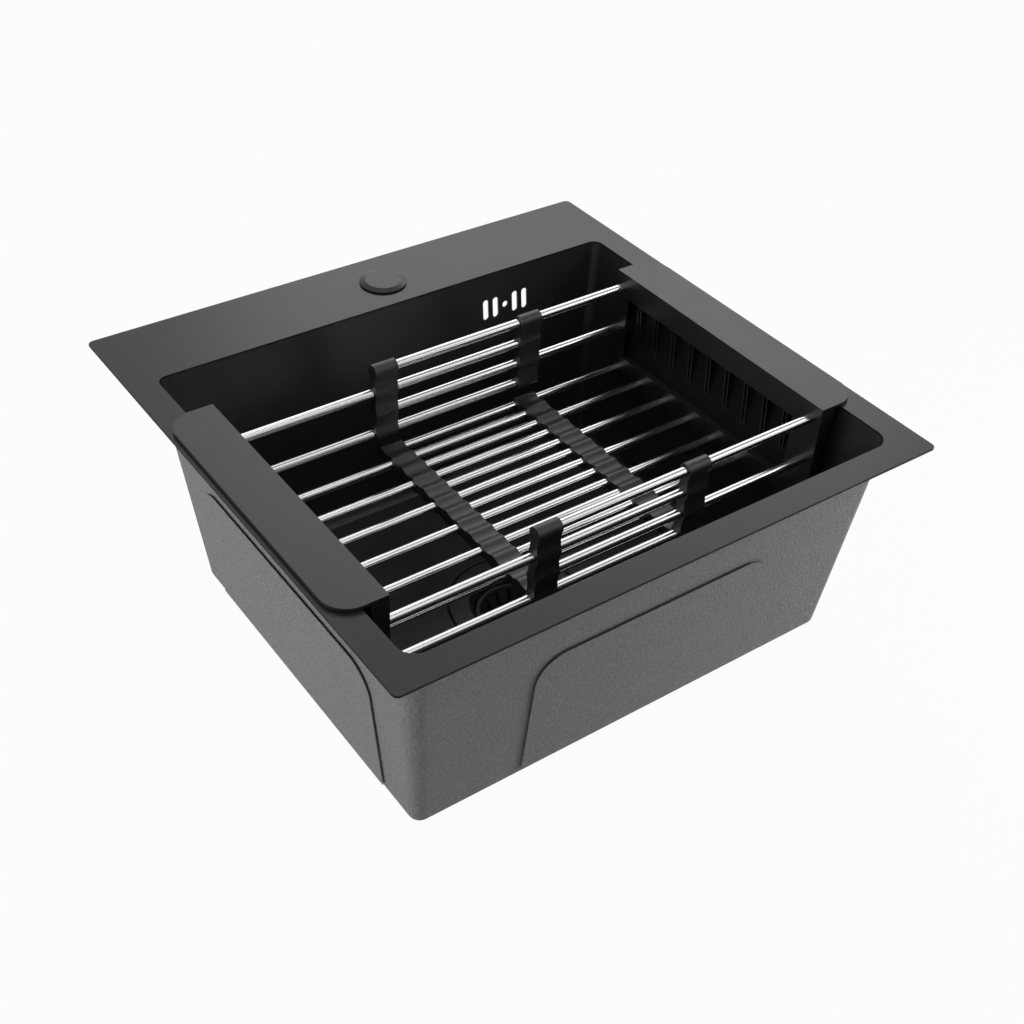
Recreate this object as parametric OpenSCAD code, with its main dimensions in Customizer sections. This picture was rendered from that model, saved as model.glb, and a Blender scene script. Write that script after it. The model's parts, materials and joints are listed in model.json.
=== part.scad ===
// Workstation kitchen sink: a single bowl with a tap ledge, its waste fitting, and the
// telescopic draining rack that hangs in the bowl from two trays on the rim.
// Origin: centre of the underside of the rim's seal, in the plane of the worktop.
// +X to the right, +Y to the tap ledge at the back, +Z up. Millimetres.

/* [Rim plate] */
// Thickness of the rim plate
plate_t = 2; // [1:0.5:4]
// Rim width left and right of the bowl
side_margin = 25; // [22:1:45]
// Rim width in front of the bowl
front_margin = 25; // [15:1:45]
// Depth of the tap ledge behind the bowl
ledge_d = 79; // [60:1:110]
// Corner radius of the rim plate
rim_corner_r = 5; // [1:0.5:15]
// Thickness of the seal strip under the rim
rim_seal_t = 1; // [0.5:0.25:3]
// Width of the seal strip
rim_seal_w = 9; // [5:0.5:10]
// Seal strip's outer edge inside the rim's edge
rim_seal_in = 2; // [1:0.5:3]

/* [Bowl] */
// Width of the bowl at the rim
bowl_w = 450; // [420:5:560]
// Front to back size of the bowl at the rim
bowl_d = 380; // [350:5:440]
// Depth of the bowl from the top of the rim
bowl_depth = 200; // [170:5:240]
// Thickness of the bowl's sheet
wall_t = 1.5; // [0.8:0.1:2.5]
// Radius of the bowl's upright corners at the rim
bowl_corner_r = 15; // [8:1:40]
// Radius between the floor and the walls
floor_r = 8; // [6:1:25]
// How far each side wall leans in over the full depth
side_draw = 20; // [5:1:30]
// How far the front wall leans in over the full depth
front_draw = 20; // [5:1:30]
// How far the back wall leans in over the full depth
back_draw = 22; // [5:1:30]

/* [Overflow] */
// Centre of the overflow group, right of the bowl's middle
overflow_x = 118.5; // [0:0.5:150]
// Spacing of the overflow slots
slot_pitch = 10.8; // [8:0.1:16]
// Width of one slot
slot_w = 6.2; // [3:0.1:7]
// Height of one slot
slot_h = 20; // [12:1:30]
// Middle of the slots, below the top of the rim
slot_drop = 35.5; // [25:0.5:60]

/* [Sound pads] */
// Thickness of a sound pad
pad_t = 2; // [1:0.5:5]
// Corner radius of a sound pad
pad_corner_r = 26; // [5:1:50]
// Top edge of the wall pads, below the top of the rim
pad_drop = 68; // [50:1:100]
// Width of the pads on the front and back walls
front_pad_w = 226; // [120:2:300]
// Width of the pads on the side walls
side_pad_w = 260; // [120:2:300]
// Width of the pad under the floor
floor_pad_w = 330; // [200:5:340]
// Front to back size of the pad under the floor
floor_pad_d = 250; // [180:5:260]

/* [Tap hole cover] */
// Tap hole's distance right of the rim's middle
tap_x = 11; // [-60:1:60]
// Tap hole's centre behind the bowl's edge
tap_setback = 36.5; // [28:0.5:40]
// Radius of the tap hole
tap_hole_r = 17.5; // [14:0.5:20]
// Radius of the cover disc
cover_r = 21; // [21:0.5:26]
// Height of the cover disc
cover_h = 2.4; // [2:0.2:6]
// Height of the disc's upright edge, under its bevel
cover_edge_h = 0.8; // [0.6:0.1:1.8]
// Radius of the cover's threaded stud
stud_r = 4; // [2.5:0.5:6]
// Length of the stud below the cover
stud_l = 38; // [30:1:60]

/* [Waste fitting] */
// Waste's distance right of the bowl's middle
drain_x = 1; // [-40:1:40]
// Waste's distance in front of the bowl's middle
drain_front = 10; // [-20:1:30]
// Radius of the hole in the bowl's floor
drain_hole_r = 45; // [42:0.5:50]
// Width of the waste's lip around the hole
lip_w = 15.5; // [10:0.5:20]
// Thickness of the lip
lip_t = 2; // [1:0.5:3]
// Radius of the cup that holds the strainer
cup_r = 36.5; // [32:0.5:38]
// Depth of the dish that leads into the cup
dish_depth = 10; // [6:0.5:14]
// Depth of the cup below the dish
cup_depth = 22; // [18:1:34]
// Length of the outlet spigot below the cup
spigot_l = 20; // [18:1:40]
// Outer radius of the tailpiece
tail_r = 20; // [16:0.5:22]
// Length of the tailpiece
tail_l = 60; // [40:5:150]

/* [Rack trays] */
// Inner face of each tray's panel, inside the bowl's edge
panel_inset = 21; // [19:1:40]
// How far each tray's flange laps over the rim
rim_lap = 21; // [10:1:21]
// Thickness of the tray flanges
flange_t = 3.2; // [2:0.2:6]
// Outer corner radius of the tray flanges
flange_corner_r = 22; // [5:1:28]
// Thickness of the trays' panels
panel_t = 2.5; // [1.5:0.1:3.5]
// Depth of the pocket behind the panel at the top
pocket_d = 15; // [12:0.5:16]
// Tray's end beyond the row of wall rods
tray_end = 10.5; // [9:0.5:20]
// Top of the window, below the top of the rim
window_drop = 20; // [14:1:30]
// Panel beside the window at the front
column_front = 30; // [20:1:50]
// Panel beside the window at the back
column_back = 17; // [16:1:40]
// Number of double ribs in the pocket
rib_pairs = 9; // [3:1:12]
// Thickness of one rib
rib_t = 1.6; // [1:0.1:3]
// Groove between the two ribs of a pair
rib_groove = 2.4; // [1.5:0.1:4]

/* [Rack rods] */
// Radius of a rod
rod_r = 4; // [3:0.25:5]
// Spacing of the floor rods
rod_pitch = 17; // [15:0.5:18]
// Spacing of the wall rods
wall_pitch = 20.8; // [16:0.2:22]
// Axis of the top rods, below the top of the rim
top_rod_drop = 9.5; // [9:0.5:20]
// Axis of the floor rods, below the top of the rim
floor_rod_drop = 95; // [90:1:120]
// Rack's middle in front of the bowl's middle
rack_front = 2; // [-10:1:10]

/* [Rack strips] */
// Width of a strip along the rods
strip_w = 22; // [15:1:24]
// Back left strip's middle, left of the bowl's middle
back_left_x = 54; // [30:1:80]
// Floor left strip's middle, left of the bowl's middle
floor_left_x = 48; // [30:1:80]
// Front left strip's middle, left of the bowl's middle
front_left_x = 64; // [30:1:80]
// Back right strip's middle, right of the bowl's middle
back_right_x = 95; // [60:1:96]
// Floor right strip's middle, right of the bowl's middle
floor_right_x = 94; // [60:1:96]
// Front right strip's middle, right of the bowl's middle
front_right_x = 80; // [60:1:96]
// Rubber around each rod
ridge_t = 2.4; // [1.5:0.1:2.8]
// Depth of the hollows between the ridges
ridge_wave = 2; // [0.4:0.1:2.6]

/* [Strainer] */
// Height of the knob above the basket's rim
knob_h = 7; // [4:0.5:9]
// Radius of the knob
knob_r = 9; // [6:0.5:12]
// Number of slots in the basket
basket_slots = 16; // [8:1:24]

/* [Clearances] */
// Gap between pieces that lift off or slide apart
seat_gap = 0.3; // [0.2:0.05:0.5]
// Gap around a rod that slides through a strip
slide_gap = 0.35; // [0.3:0.05:0.6]
// Gap around a rod that is fixed in its socket
socket_gap = 0.05; // [0:0.01:0.1]
// Adhesive under a sound pad
glue_t = 0.2; // [0.1:0.05:0.4]

/* [Hidden] */
$fn = 64;

// Margin by which a cut runs past what it cuts
past = 1;
// Sliver that closes a blended solid at its open side
seam = 0.01;
// Facets on the parts of a blended solid
blend_fn = 32;

// Rim and bowl
rim_w = bowl_w + 2 * side_margin;
rim_d = front_margin + bowl_d + ledge_d;
rim_z = rim_seal_t;
rim_top = rim_z + plate_t;
bowl_y = front_margin + bowl_d / 2 - rim_d / 2;
bowl_back_y = bowl_y + bowl_d / 2;
floor_z = rim_top - bowl_depth;
floor_under_z = floor_z - wall_t;
side_slope = side_draw / bowl_depth;
front_slope = front_draw / bowl_depth;
back_slope = back_draw / bowl_depth;
pad_gap = 3;

// Tap hole cover
tap_y = bowl_back_y + tap_setback;
gasket_t = 0.8;
gasket_in = 1.5;
gasket_lap = 3;
cover_bevel = 5;
cover_washer_lap = 6;
cover_washer_r = tap_hole_r + cover_washer_lap;
cover_washer_t = 2.5;
nut_h = 8;
wing_t = 3;

// Waste fitting, measured down from the bowl's floor
drain_y = bowl_y - drain_front;
lip_r = drain_hole_r + lip_w;
lip_edge = 1;
lip_seal_t = 1;
well_depth = lip_t + lip_seal_t;
well_r = lip_r + 1;
thread_gap = 0.2;
body_r = drain_hole_r - 1;
dish_r = body_r - 2;
cup_wall = 3;
cup_floor_d = dish_depth + cup_depth;
body_bottom_d = cup_floor_d + cup_wall;
tail_wall = 1.5;
outlet_r = tail_r - tail_wall;
spigot_wall = 6.5;
spigot_r = outlet_r + spigot_wall;
spigot_flare = 4;
spigot_end_d = body_bottom_d + spigot_l;
under_seal_t = 2.5;
friction_t = 0.8;
locknut_h = 10;
locknut_grip = 10;
locknut_r = body_r + locknut_grip;
lug_l = 8;
lug_w = 10;
lug_out = 4;
under_seal_d = well_depth + wall_t;
friction_d = under_seal_d + under_seal_t;
locknut_d = friction_d + friction_t;
tail_washer_t = 1.5;
tail_flange_t = 2;
tail_flange_r = spigot_r - 0.5;
tail_shoulder_r = tail_r + 0.6;
tail_top_d = spigot_end_d + tail_washer_t;
slip_nut_lip = 3;
tail_shoulder_l = slip_nut_lip + 1;
slip_nut_grip = 12;
slip_nut_wall = 4;
grip_rib_t = 3;
grip_rib_w = 4;

// Strainer, measured down from the bowl's floor
basket_t = 1.2;
basket_rim_r = cup_r - 1;
basket_rim_w = 3;
basket_foot_r = outlet_r + 6;
basket_slot_w = 2.6;
basket_band = 3;
knob_head = 5;
knob_round = 2;
plug_t = 3;
plug_d = cup_floor_d - seat_gap;
basket_floor_d = plug_d - plug_t;
post_r = 3;
post_foot = 2;

// Rack rods: 1 to 4 down the back wall, 5 to 19 along the floor, 20 to 23 up the front
wall_rods = 4;
floor_rods = 15;
rod_count = floor_rods + 2 * wall_rods;
wall_set = 2.5;
rack_y = bowl_y - rack_front;
wall_off = (floor_rods - 1) / 2 * rod_pitch + wall_set;
rod_z = rim_top - floor_rod_drop;
top_rod_z = rim_top - top_rod_drop;

function rod_place(k) =
    k <= wall_rods ? [rack_y + wall_off, top_rod_z - (k - 1) * wall_pitch] :
    k <= wall_rods + floor_rods ? [rack_y + ((rod_count + 1) / 2 - k) * rod_pitch, rod_z] :
    [rack_y - wall_off, top_rod_z - (rod_count - k) * wall_pitch];

// Row of a rod: 0 back, 1 floor, 2 front
function row_of(k) = k <= wall_rods ? 0 : k <= wall_rods + floor_rods ? 1 : 2;

// The right tray holds the odd rods, the left tray the even ones
right_set = [for (k = [1:2:rod_count]) k];
left_set = [for (k = [2:2:rod_count]) k];
back_row = [for (k = [1:wall_rods]) k];
floor_row = [for (k = [wall_rods + 1:wall_rods + floor_rods]) k];
front_row = [for (k = [wall_rods + floor_rods + 1:rod_count]) k];
left_strip_x = [back_left_x, floor_left_x, front_left_x];
right_strip_x = [back_right_x, floor_right_x, front_right_x];

// Rack trays
panel_x = bowl_w / 2 - panel_inset;
flange_w = panel_inset + rim_lap;
flange_z = rim_top + seat_gap;
tray_l = 2 * (wall_off + tray_end);
tray_y = rack_y - tray_l / 2;
panel_foot = 6;
panel_z = rod_z - rod_r - panel_foot;
window_z = rim_top - window_drop;
window_y = tray_y + column_front;
window_l = tray_l - column_front - column_back;
sill_t = 2;
lowest_wall_rod_z = top_rod_z - (wall_rods - 1) * wall_pitch;
sill_z = (lowest_wall_rod_z + rod_z + sill_t) / 2;
pocket_wall = 2;
pocket_x = panel_x + pocket_d;
sill_x = pocket_x - side_slope * (flange_z - sill_z);
foot_x = pocket_x - side_slope * (flange_z - panel_z);
socket_d = 6;
socket_end_t = 1.5;
boss_wall = 2.4;
boss_r = rod_r + boss_wall;
boss_l = socket_d + socket_end_t;
rib_setback = 4;
rib_x = panel_x + panel_t + rib_setback;

// Rack strips
ridge_r = rod_r + ridge_t;
web_r = ridge_r - ridge_wave;
neck_relief = 0.15;
strip_cap = 2;

module rounded_rect(w, d, r) {
    square([w - 2 * r, d], center = true);
    square([w, d - 2 * r], center = true);
    for (x = [-1, 1], y = [-1, 1])
        translate([x * (w / 2 - r), y * (d / 2 - r)])
            circle(r);
}

module ring(r_out, r_in, h) {
    difference() {
        cylinder(r = r_out, h = h);
        translate([0, 0, -past])
            cylinder(r = r_in, h = h + 2 * past);
    }
}

// --- Rim plate and bowl ---

module top_plate() {
    color("#3a3a3c")
        translate([0, 0, rim_z])
            linear_extrude(plate_t)
                difference() {
                    rounded_rect(rim_w, rim_d, rim_corner_r);
                    translate([0, bowl_y])
                        rounded_rect(bowl_w, bowl_d, bowl_corner_r);
                    translate([tap_x, tap_y])
                        circle(tap_hole_r);
                }
}

module rim_seal() {
    w = rim_w - 2 * rim_seal_in;
    d = rim_d - 2 * rim_seal_in;
    color("#141414")
        linear_extrude(rim_seal_t)
            difference() {
                rounded_rect(w, d, rim_corner_r);
                rounded_rect(w - 2 * rim_seal_w, d - 2 * rim_seal_w, rim_corner_r);
            }
}

// The bowl's inside, or its outside when grown by the wall
module bowl_form(grow) {
    ball_z = floor_z + floor_r;
    fall = rim_z - ball_z;
    hull() {
        translate([0, bowl_y, rim_z - seam])
            linear_extrude(seam)
                rounded_rect(bowl_w + 2 * grow, bowl_d + 2 * grow, bowl_corner_r + grow, $fn = blend_fn);
        for (x = [-1, 1])
            for (y = [bowl_y + bowl_d / 2 - back_slope * fall - floor_r,
                      bowl_y - bowl_d / 2 + front_slope * fall + floor_r])
                translate([x * (bowl_w / 2 - side_slope * fall - floor_r), y, ball_z])
                    sphere(floor_r + grow, $fn = blend_fn);
    }
}

module overflow_cuts() {
    reach = back_draw + wall_t + 2 * past;
    span = slot_h - slot_w;
    for (i = [-2:2])
        translate([overflow_x + i * slot_pitch, bowl_back_y + wall_t + past, rim_top - slot_drop])
            rotate([90, 0, 0])
                linear_extrude(reach)
                    if (i == 0) {
                        circle(slot_w / 2);
                    } else {
                        square([slot_w, span], center = true);
                        for (z = [-1, 1])
                            translate([0, z * span / 2])
                                circle(slot_w / 2);
                    }
}

module bowl() {
    color("#2b2b2d")
        difference() {
            union() {
                difference() {
                    bowl_form(wall_t);
                    bowl_form(0);
                    translate([0, 0, rim_z + past - seam])
                        cube([2 * bowl_w, 2 * bowl_d, 2 * past], center = true);
                    overflow_cuts();
                }
                // Pressed well that the waste's lip lies in
                translate([drain_x, drain_y, floor_under_z - well_depth])
                    cylinder(r = well_r + wall_t, h = well_depth + wall_t);
            }
            translate([drain_x, drain_y, floor_z - well_depth])
                cylinder(r = well_r, h = well_depth + past);
            translate([drain_x, drain_y, floor_z - well_depth - 2 * wall_t])
                cylinder(r = drain_hole_r, h = bowl_depth / 2);
        }
}

// --- Sound pads ---

// Puts a child on the outside of a wall: X along it, -Y outwards, Z up from the wall's top
module on_wall(turn, half, slope) {
    translate([0, bowl_y, rim_z])
        rotate([0, 0, turn])
            translate([0, -half - wall_t, 0])
                rotate([atan(slope), 0, 0])
                    translate([0, -glue_t, 0])
                        children();
}

module wall_pad(w) {
    top = plate_t - pad_drop;
    bottom = floor_z + floor_r - rim_z;
    h = top - bottom;
    r = min(pad_corner_r, h / 2 - past);
    color("#333335")
        translate([0, 0, (top + bottom) / 2])
            rotate([90, 0, 0])
                linear_extrude(pad_t)
                    union() {
                        rounded_rect(w, h, r);
                        translate([0, -h / 4])
                            square([w, h / 2], center = true);
                    }
}

module front_pad() {
    on_wall(0, bowl_d / 2, front_slope)
        wall_pad(front_pad_w);
}

module back_pad() {
    on_wall(180, bowl_d / 2, back_slope)
        wall_pad(front_pad_w);
}

module left_pad() {
    on_wall(-90, bowl_w / 2, side_slope)
        wall_pad(side_pad_w);
}

module right_pad() {
    on_wall(90, bowl_w / 2, side_slope)
        wall_pad(side_pad_w);
}

module floor_pad() {
    color("#333335")
        translate([0, bowl_y, floor_under_z - glue_t - pad_t])
            linear_extrude(pad_t)
                difference() {
                    rounded_rect(floor_pad_w, floor_pad_d, pad_corner_r);
                    translate([drain_x, -drain_front])
                        circle(well_r + wall_t + pad_gap);
                }
}

// --- Tap hole cover ---

module at_tap_hole() {
    translate([tap_x, tap_y, rim_z])
        children();
}

module tap_hole_cover() {
    color("#3a3a3c")
        at_tap_hole()
            translate([0, 0, plate_t + gasket_t])
                rotate_extrude()
                    polygon([[0, 0], [cover_r, 0], [cover_r, cover_edge_h],
                             [cover_r - cover_bevel, cover_h], [0, cover_h]]);
}

module cover_gasket() {
    color("#141414")
        at_tap_hole()
            translate([0, 0, plate_t])
                ring(cover_r - gasket_in, tap_hole_r - gasket_lap, gasket_t);
}

module cover_stud() {
    color("#8f9194")
        at_tap_hole()
            translate([0, 0, plate_t + gasket_t - stud_l])
                cylinder(r = stud_r, h = stud_l);
}

module cover_washer() {
    color("#8f9194")
        at_tap_hole()
            translate([0, 0, -cover_washer_t])
                ring(cover_washer_r, stud_r + thread_gap, cover_washer_t);
}

module cover_nut() {
    boss = 2 * stud_r;
    wing_w = 3 * stud_r;
    color("#8f9194")
        at_tap_hole()
            translate([0, 0, -cover_washer_t - nut_h])
                difference() {
                    union() {
                        cylinder(r = boss, h = nut_h);
                        for (side = [-1, 1])
                            translate([side * (boss + wing_w / 2 - past), 0, nut_h / 2])
                                cube([wing_w, wing_t, nut_h], center = true);
                    }
                    translate([0, 0, -past])
                        cylinder(r = stud_r + socket_gap, h = nut_h + 2 * past);
                }
}

// --- Waste fitting ---

// Moves a child to the waste's axis, a given depth below the bowl's floor
module at_waste(depth) {
    translate([drain_x, drain_y, floor_z - depth])
        children();
}

module waste_body() {
    color("#2b2b2d")
        at_waste(0)
            rotate_extrude()
                polygon([
                    [dish_r, 0], [lip_r - lip_edge, 0], [lip_r, -lip_edge], [lip_r, -lip_t],
                    [body_r, -lip_t], [body_r, -cup_floor_d], [spigot_r + spigot_flare, -body_bottom_d],
                    [spigot_r, -body_bottom_d], [spigot_r, -spigot_end_d],
                    [outlet_r, -spigot_end_d], [outlet_r, -cup_floor_d],
                    [cup_r, -cup_floor_d], [cup_r, -dish_depth]]);
}

module lip_seal() {
    color("#141414")
        at_waste(well_depth)
            ring(lip_r - lip_edge, drain_hole_r, lip_seal_t);
}

module under_seal() {
    color("#141414")
        at_waste(friction_d)
            ring(locknut_r + 2, body_r + thread_gap, under_seal_t);
}

module friction_ring() {
    color("#c9c9c4")
        at_waste(locknut_d)
            ring(locknut_r + 1, body_r + thread_gap, friction_t);
}

module locknut() {
    lugs = 6;
    color("#d8d8d2")
        at_waste(locknut_d + locknut_h)
            difference() {
                union() {
                    cylinder(r = locknut_r - lug_out, h = locknut_h);
                    for (i = [0:lugs - 1])
                        rotate([0, 0, i * 360 / lugs])
                            translate([locknut_r - lug_l / 2, 0, locknut_h / 2])
                                cube([lug_l, lug_w, locknut_h], center = true);
                }
                translate([0, 0, -past])
                    cylinder(r = body_r + thread_gap, h = locknut_h + 2 * past);
            }
}

module tail_washer() {
    color("#141414")
        at_waste(tail_top_d)
            ring(tail_flange_r, outlet_r, tail_washer_t);
}

module tailpiece() {
    color("#d8d8d2")
        at_waste(tail_top_d + tail_l)
            difference() {
                union() {
                    cylinder(r = tail_r, h = tail_l);
                    translate([0, 0, tail_l - tail_flange_t - tail_shoulder_l])
                        cylinder(r = tail_shoulder_r, h = tail_shoulder_l);
                    translate([0, 0, tail_l - tail_flange_t])
                        cylinder(r = tail_flange_r, h = tail_flange_t);
                }
                translate([0, 0, -past])
                    cylinder(r = outlet_r, h = tail_l + 2 * past);
            }
}

module slip_nut() {
    ribs = 12;
    nut_r = spigot_r + slip_nut_wall;
    lip_top_d = tail_top_d + tail_flange_t;
    h = slip_nut_lip + tail_flange_t + tail_washer_t + slip_nut_grip;
    color("#d8d8d2")
        at_waste(lip_top_d + slip_nut_lip)
            difference() {
                union() {
                    cylinder(r = nut_r, h = h);
                    for (i = [0:ribs - 1])
                        rotate([0, 0, i * 360 / ribs])
                            translate([nut_r, 0, h / 2])
                                cube([grip_rib_t, grip_rib_w, h], center = true);
                }
                translate([0, 0, slip_nut_lip])
                    cylinder(r = spigot_r + thread_gap, h = h);
                translate([0, 0, -past])
                    cylinder(r = tail_shoulder_r + thread_gap, h = h);
            }
}

// --- Strainer ---

module strainer_basket() {
    rim_d0 = dish_depth;
    foot = basket_foot_r;
    neck = basket_rim_r - basket_rim_w;
    color("#8f9194")
        at_waste(0)
            difference() {
                rotate_extrude()
                    polygon([
                        [neck, -rim_d0], [basket_rim_r, -rim_d0], [basket_rim_r, -rim_d0 - basket_t],
                        [neck + basket_t, -rim_d0 - basket_t], [foot, -basket_floor_d],
                        [0, -basket_floor_d], [0, -basket_floor_d + basket_t],
                        [foot - basket_t, -basket_floor_d + basket_t]]);
                for (i = [0:basket_slots - 1])
                    rotate([0, 0, i * 360 / basket_slots])
                        translate([outlet_r + past, -basket_slot_w / 2, -basket_floor_d - past])
                            cube([cup_r, basket_slot_w, basket_floor_d - rim_d0 - basket_band + past]);
            }
}

module strainer_knob() {
    top = knob_h - dish_depth;
    foot = basket_t - basket_floor_d;
    under = top - knob_head;
    color("#2b2b2d")
        at_waste(0)
            rotate_extrude()
                polygon([
                    [0, foot], [post_r + post_foot, foot], [post_r, foot + post_foot],
                    [post_r, under], [knob_r - knob_round / 2, under + knob_round / 2],
                    [knob_r, top - knob_round], [knob_r - knob_round, top], [0, top]]);
}

module strainer_seal() {
    color("#141414")
        at_waste(plug_d)
            cylinder(r = outlet_r + 3, h = plug_t);
}

// --- Rack trays ---

// Moves a child to a rod of the rack and turns it along +X
module at_rod(k, x) {
    translate([x, rod_place(k)[0], rod_place(k)[1]])
        rotate([0, 90, 0])
            children();
}

// Slab with the side outline of the pocket, ending at y
module pocket_slab(y, l) {
    translate([0, y, 0])
        rotate([90, 0, 0])
            linear_extrude(l)
                polygon([[panel_x, flange_z], [pocket_x, flange_z], [foot_x, panel_z], [panel_x, panel_z]]);
}

// The right tray, with a socket for each rod of the set
module tray(set) {
    wall_bosses = [for (k = set) if (row_of(k) != 1) k];
    floor_bosses = [for (k = set) if (row_of(k) == 1) k];
    difference() {
        union() {
            tray_flange();
            // Panel with its window
            difference() {
                translate([panel_x, tray_y, panel_z])
                    cube([panel_t, tray_l, flange_z - panel_z]);
                translate([panel_x - past, window_y, sill_z])
                    cube([panel_t + 2 * past, window_l, window_z - sill_z]);
            }
            // Ends of the pocket
            for (y = [tray_y + panel_t, tray_y + tray_l])
                pocket_slab(y, panel_t);
            // Outer wall and sill
            translate([0, tray_y + tray_l, 0])
                rotate([90, 0, 0])
                    linear_extrude(tray_l) {
                        polygon([[pocket_x - pocket_wall, flange_z], [pocket_x, flange_z],
                                 [sill_x, sill_z - sill_t], [sill_x - pocket_wall, sill_z - sill_t]]);
                        polygon([[panel_x, sill_z], [sill_x, sill_z],
                                 [sill_x, sill_z - sill_t], [panel_x, sill_z - sill_t]]);
                    }
            tray_ribs();
            // Bosses of the wall rods reach the outer wall, those of the floor rods stand free
            intersection() {
                pocket_slab(tray_y + tray_l, tray_l);
                for (k = wall_bosses)
                    at_rod(k, panel_x)
                        cylinder(r = boss_r, h = pocket_d);
            }
            for (k = floor_bosses)
                at_rod(k, panel_x)
                    cylinder(r = boss_r, h = boss_l);
        }
        for (k = set)
            at_rod(k, panel_x - past)
                cylinder(r = rod_r + socket_gap, h = socket_d + past);
    }
}

module tray_flange() {
    translate([panel_x, rack_y, flange_z])
        linear_extrude(flange_t)
            intersection() {
                rounded_rect(2 * flange_w, tray_l, flange_corner_r);
                translate([0, -tray_l / 2])
                    square([flange_w, tray_l]);
            }
}

// Pairs of upright ribs in the pocket, from the flange to the sill
module tray_ribs() {
    step = window_l / rib_pairs;
    low_z = sill_z - sill_t / 2;
    for (i = [0:rib_pairs - 1], side = [-1, 1])
        translate([0, window_y + (i + 0.5) * step + side * (rib_groove + rib_t) / 2 + rib_t / 2, 0])
            rotate([90, 0, 0])
                linear_extrude(rib_t)
                    intersection() {
                        translate([rib_x, low_z])
                            square([pocket_d, flange_z - low_z]);
                        translate([-pocket_wall / 2, 0])
                            polygon([[panel_x, flange_z], [pocket_x, flange_z],
                                     [foot_x, panel_z], [panel_x, panel_z]]);
                    }
}

module right_tray() {
    color("#3d3d3f")
        tray(right_set);
}

module left_tray() {
    color("#3d3d3f")
        mirror([1, 0, 0])
            tray(left_set);
}

// --- Rack rods and strips ---

// Rods from the sockets of the right tray to the capped ends in the strips left of them
module rods(set, strips) {
    socket_x = panel_x + socket_d - seat_gap;
    color("#d5d7da")
        for (k = set) {
            tip_x = strip_cap - strips[row_of(k)] - strip_w / 2;
            at_rod(k, tip_x)
                cylinder(r = rod_r, h = socket_x - tip_x);
        }
}

module right_rods() {
    rods(right_set, left_strip_x);
}

module left_rods() {
    mirror([1, 0, 0])
        rods(left_set, right_strip_x);
}

// End view of a strip: a round ridge on each rod and a smooth hollow between two ridges
module strip_outline(row) {
    first = rod_place(row[0]);
    step = rod_place(row[1]) - first;
    pitch = norm(step);
    hollow_r = (pow(pitch / 2, 2) + pow(web_r, 2) - pow(ridge_r, 2)) / (2 * (ridge_r - web_r));
    hollow_off = web_r + hollow_r;
    neck = ridge_r * hollow_off / (ridge_r + hollow_r) - neck_relief;
    for (k = row)
        translate(rod_place(k))
            circle(ridge_r);
    translate(first)
        rotate(atan2(step[1], step[0]))
            difference() {
                translate([0, -neck])
                    square([(len(row) - 1) * pitch, 2 * neck]);
                for (i = [1:len(row) - 1], side = [-1, 1])
                    translate([(i - 0.5) * pitch, side * hollow_off])
                        circle(hollow_r);
            }
}

// A rubber strip across one row of rods. It grips one set of rods, whose ends it caps on
// the side given by cap, and the other set slides through it
module strip(x, row, gripped, cap) {
    color("#1c1c1d")
        difference() {
            translate([x - strip_w / 2, 0, 0])
                rotate([90, 0, 90])
                    linear_extrude(strip_w)
                        strip_outline(row);
            for (k = row) {
                held = len([for (g = gripped) if (g == k) g]) > 0;
                start = x - strip_w / 2 + (held && cap < 0 ? strip_cap : -past);
                end = x + strip_w / 2 - (held && cap > 0 ? strip_cap : -past);
                at_rod(k, start)
                    cylinder(r = rod_r + (held ? socket_gap : slide_gap), h = end - start);
            }
        }
}

module back_strip_left() {
    strip(-back_left_x, back_row, right_set, -1);
}

module floor_strip_left() {
    strip(-floor_left_x, floor_row, right_set, -1);
}

module front_strip_left() {
    strip(-front_left_x, front_row, right_set, -1);
}

module back_strip_right() {
    strip(back_right_x, back_row, left_set, 1);
}

module floor_strip_right() {
    strip(floor_right_x, floor_row, left_set, 1);
}

module front_strip_right() {
    strip(front_right_x, front_row, left_set, 1);
}

top_plate();
rim_seal();
bowl();
front_pad();
back_pad();
left_pad();
right_pad();
floor_pad();
tap_hole_cover();
cover_gasket();
cover_stud();
cover_washer();
cover_nut();
waste_body();
lip_seal();
under_seal();
friction_ring();
locknut();
tail_washer();
tailpiece();
slip_nut();
strainer_basket();
strainer_knob();
strainer_seal();
left_tray();
right_tray();
left_rods();
right_rods();
back_strip_left();
floor_strip_left();
front_strip_left();
back_strip_right();
floor_strip_right();
front_strip_right();
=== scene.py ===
import json
import math

import bmesh
import bpy
from mathutils import Matrix, Vector


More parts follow.
